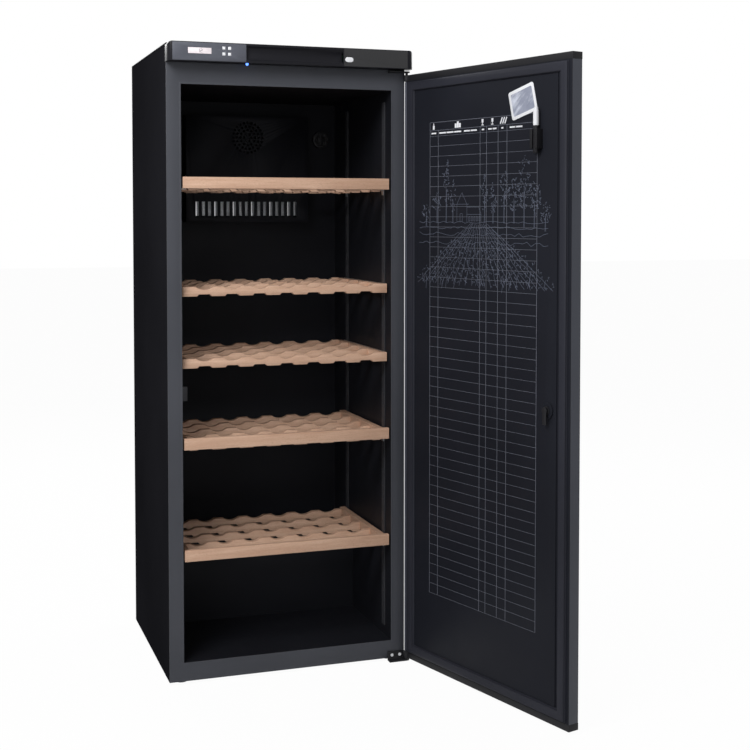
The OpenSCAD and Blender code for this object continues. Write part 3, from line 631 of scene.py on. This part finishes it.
def polyline(bm, points, width):
    for a, b in zip(points, points[1:]):
        stroke(bm, a, b, width)


CHART_U = (117 * MM, 570 * MM)
CHART_TOP = 1584 * MM
HEAD_1 = 1561 * MM
HEAD_2 = 1545 * MM
CHART_BOTTOM = 236 * MM
COLUMNS = [u * MM for u in (155, 340, 367, 415, 451)]
ROWS = 46


def print_layer(name, draw, ink):
    bm = bmesh.new()
    draw(bm)
    new_object(name, mesh_from(bm, name, DOOR_TURN), ink, "door")


def make_chart():
    print_layer("log_lines", chart_lines, "line_ink")
    print_layer("log_header", header_marks, "bright_ink")
    print_layer("log_drawing", landscape, "chalk_ink")


def chart_lines(bm):
    thin = 1.0 * MM
    for u in CHART_U:
        stroke(bm, (u, CHART_BOTTOM), (u, CHART_TOP), thin * 1.2)
    for u in COLUMNS:
        stroke(bm, (u, CHART_BOTTOM), (u, HEAD_1), thin * 1.2)
    for z in (CHART_TOP, HEAD_1):
        stroke(bm, (CHART_U[0], z), (CHART_U[1], z), thin)
    for i in range(ROWS + 1):
        z = HEAD_2 + (CHART_BOTTOM - HEAD_2) * i / ROWS
        stroke(bm, (CHART_U[0], z), (CHART_U[1], z), thin * 0.7)


def header_marks(bm):
    """Plain pictograms over the columns and blank dashes where headings would stand."""
    z0, z1 = HEAD_1 + 3 * MM, CHART_TOP - 3 * MM
    tall = z1 - z0
    stroke(bm, (134 * MM, z0), (134 * MM, z0 + tall * 0.62), 8 * MM)
    stroke(bm, (134 * MM, z0 + tall * 0.6), (134 * MM, z1), 3.5 * MM)
    for i in range(3):
        stroke(bm, ((234 + 9 * i) * MM, z0), ((234 + 9 * i) * MM, z0 + tall * (0.7, 1.0, 0.7)[i]), 8 * MM)
    for u in (350, 391):
        stroke(bm, (u * MM, z0 + tall * 0.45), (u * MM, z1), 8 * MM)
        stroke(bm, (u * MM, z0), (u * MM, z0 + tall * 0.45), 2.5 * MM)
        stroke(bm, ((u - 5) * MM, z0 + 1 * MM), ((u + 5) * MM, z0 + 1 * MM), 2 * MM)
    for k in range(3):
        stroke(bm, ((424 + 9 * k) * MM, z0), ((432 + 9 * k) * MM, z1), 4.5 * MM)
    dash_z = (HEAD_1 + HEAD_2) / 2
    dashes = [(124, 145), (160, 190), (193, 224), (227, 258), (270, 296), (299, 326), (347, 357), (374, 389),
              (392, 408), (428, 436), (462, 484), (487, 512)]
    for a, b in dashes:
        stroke(bm, (a * MM, dash_z), (b * MM, dash_z), 4 * MM)


def landscape(bm):
    """An invented chalk sketch: vine rows running to a low house between trees."""
    rng = random.Random(7)
    fine = 0.8 * MM

    def pen(points):
        polyline(bm, [(u * MM, z * MM) for u, z in points], fine)

    def tuft(u, z, wide, tall, count):
        """Short leaf strokes scattered through an oval."""
        for _ in range(count):
            a, r = rng.uniform(0, 2 * math.pi), math.sqrt(rng.random())
            x, y = u + wide * r * math.cos(a), z + tall * r * math.sin(a)
            turn, size = rng.uniform(0, math.pi), rng.uniform(3, 8)
            pen([(x, y), (x + size * math.cos(turn), y + size * math.sin(turn)),
                 (x + size * 0.4, y + size * rng.uniform(-1, 1))])

    def tree(u, z, tall, wide, leaves):
        pen([(u - 1.5, z), (u, z + tall * 0.55)])
        pen([(u + 1.5, z), (u + 1, z + tall * 0.5)])
        tuft(u, z + tall * 0.62, wide, tall * 0.40, leaves)

    trees = [(150, 1300, 90, 20, 30), (192, 1300, 185, 13, 46), (222, 1300, 120, 12, 24),
             (360, 1300, 130, 15, 34), (395, 1300, 105, 16, 30), (440, 1300, 140, 20, 48),
             (480, 1300, 120, 22, 48), (520, 1290, 190, 26, 80), (560, 1290, 120, 22, 44),
             (602, 1280, 80, 20, 24), (100, 1290, 60, 18, 20)]
    for u, z, tall, wide, leaves in trees:
        tree(u, z, tall, wide, leaves)
    for outline in ([(240, 1302), (240, 1352), (262, 1384), (284, 1352), (284, 1302)],
                    [(284, 1344), (335, 1344), (345, 1324), (345, 1302)], [(232, 1352), (292, 1352)],
                    [(254, 1302), (254, 1326), (264, 1326), (264, 1302)], [(284, 1324), (345, 1324)]):
        pen(outline)
    for u in range(292, 340, 11):
        pen([(u, 1306), (u, 1318), (u + 5, 1318), (u + 5, 1306), (u, 1306)])
    eye_u, eye_z = 330, 1318
    for k in range(22):
        foot = 62 + 27 * k
        start = 0.13 if k % 2 else 0.22
        points = []
        for i in range(15):
            t = start + (1 - start) * i / 14
            u = eye_u + (foot - eye_u) * t + rng.uniform(-2, 2)
            z = eye_z - 190 * t ** 1.1 + rng.uniform(-2.5, 2.5)
            points.append((u, z))
            if t > 0.4:
                tuft(u, z + 4 + 6 * t, 4 + 7 * t, 3 + 6 * t, 1 + int(2 * t))
        pen(points)
    for z, swing in ((1302, 3), (1288, 4), (1270, 5), (1246, 6)):
        pen([(u, z + rng.uniform(-swing, swing)) for u in range(68, 628, 16)])
    for _ in range(26):
        u, z = rng.uniform(70, 615), rng.uniform(1140, 1176)
        pen([(u, z), (u - rng.uniform(4, 14), z - rng.uniform(18, 40))])


# ---------------------------------------------------------------- stage, light, camera

def seen_rays(tree):
    """1 for the rays that show a background: the camera's, reflected ones and those through glass."""
    path = tree.nodes.new("ShaderNodeLightPath")
    seen = path.outputs["Is Camera Ray"]
    for other in ("Is Glossy Ray", "Is Transmission Ray"):
        most = tree.nodes.new("ShaderNodeMath")
        most.operation = "MAXIMUM"
        tree.links.new(seen, most.inputs[0])
        tree.links.new(path.outputs[other], most.inputs[1])
        seen = most.outputs[0]
    return seen


def glow_material(name, colour, share):
    """Pale surface that is mostly white to the camera and in reflections, and keeps the object's shadow."""
    mat = bpy.data.materials.new(name)
    mat.use_nodes = True
    tree = mat.node_tree
    tree.nodes.clear()
    out = tree.nodes.new("ShaderNodeOutputMaterial")
    diffuse = tree.nodes.new("ShaderNodeBsdfDiffuse")
    diffuse.inputs["Color"].default_value = (*colour, 1)
    emission = tree.nodes.new("ShaderNodeEmission")
    emission.inputs["Strength"].default_value = 1.0
    amount = tree.nodes.new("ShaderNodeMath")
    amount.operation = "MULTIPLY"
    amount.inputs[1].default_value = share
    tree.links.new(seen_rays(tree), amount.inputs[0])
    mix = tree.nodes.new("ShaderNodeMixShader")
    tree.links.new(amount.outputs[0], mix.inputs[0])
    tree.links.new(diffuse.outputs[0], mix.inputs[1])
    tree.links.new(emission.outputs[0], mix.inputs[2])
    tree.links.new(mix.outputs[0], out.inputs["Surface"])
    return mat


def make_stage():
    bm = bmesh.new()
    bmesh.ops.create_grid(bm, x_segments=1, y_segments=1, size=30)
    floor = bpy.data.objects.new("floor", mesh_from(bm, "floor"))
    bpy.context.scene.collection.objects.link(floor)
    floor.data.materials.append(glow_material("pale_floor", (0.88, 0.88, 0.88), 0.97))


def make_light():
    world = bpy.data.worlds.new("studio")
    bpy.context.scene.world = world
    world.use_nodes = True
    tree = world.node_tree
    background = tree.nodes["Background"]
    background.inputs["Color"].default_value = (1, 1, 1, 1)
    level = tree.nodes.new("ShaderNodeMapRange")
    level.inputs["To Min"].default_value = 0.22
    level.inputs["To Max"].default_value = 1.0
    tree.links.new(seen_rays(tree), level.inputs["Value"])
    tree.links.new(level.outputs["Result"], background.inputs["Strength"])
    lamp("key", (-1.7, -2.1, 3.1), (0, -0.3, 1.1), 1.3, 80)
    lamp("front", (-2.2, -5.0, 2.2), (0, -0.3, 0.9), 2.4, 26)
    lamp("side", (3.2, 1.2, 2.8), (0.2, 0, 1.0), 2.0, 55)
    lamp("back", (-0.6, 3.4, 3.2), (0, 0, 1.0), 2.0, 75)


def lamp(name, place, target, size, power):
    data = bpy.data.lights.new(name, "AREA")
    data.size = size
    data.energy = power
    obj = bpy.data.objects.new(name, data)
    obj.location = place
    obj.rotation_mode = "QUATERNION"
    obj.rotation_quaternion = (Vector(target) - Vector(place)).to_track_quat("-Z", "Y")
    bpy.context.scene.collection.objects.link(obj)


def make_camera():
    data = bpy.data.cameras.new("camera")
    data.lens = 63.22
    data.shift_y = -0.14
    data.clip_end = 60
    cam = bpy.data.objects.new("camera", data)
    cam.location = (-0.988, -3.943, 1.321)
    cam.rotation_euler = (math.radians(90 - 2.37), 0, math.radians(-18.94))
    bpy.context.scene.collection.objects.link(cam)
    bpy.context.scene.camera = cam


# ---------------------------------------------------------------- make it all

make_camera()
make_cabinet()
make_fascia()
make_interior()
make_bay()
make_hinges()
make_door()
make_stage()
make_light()
bpy.context.scene.view_settings.view_transform = "Standard"
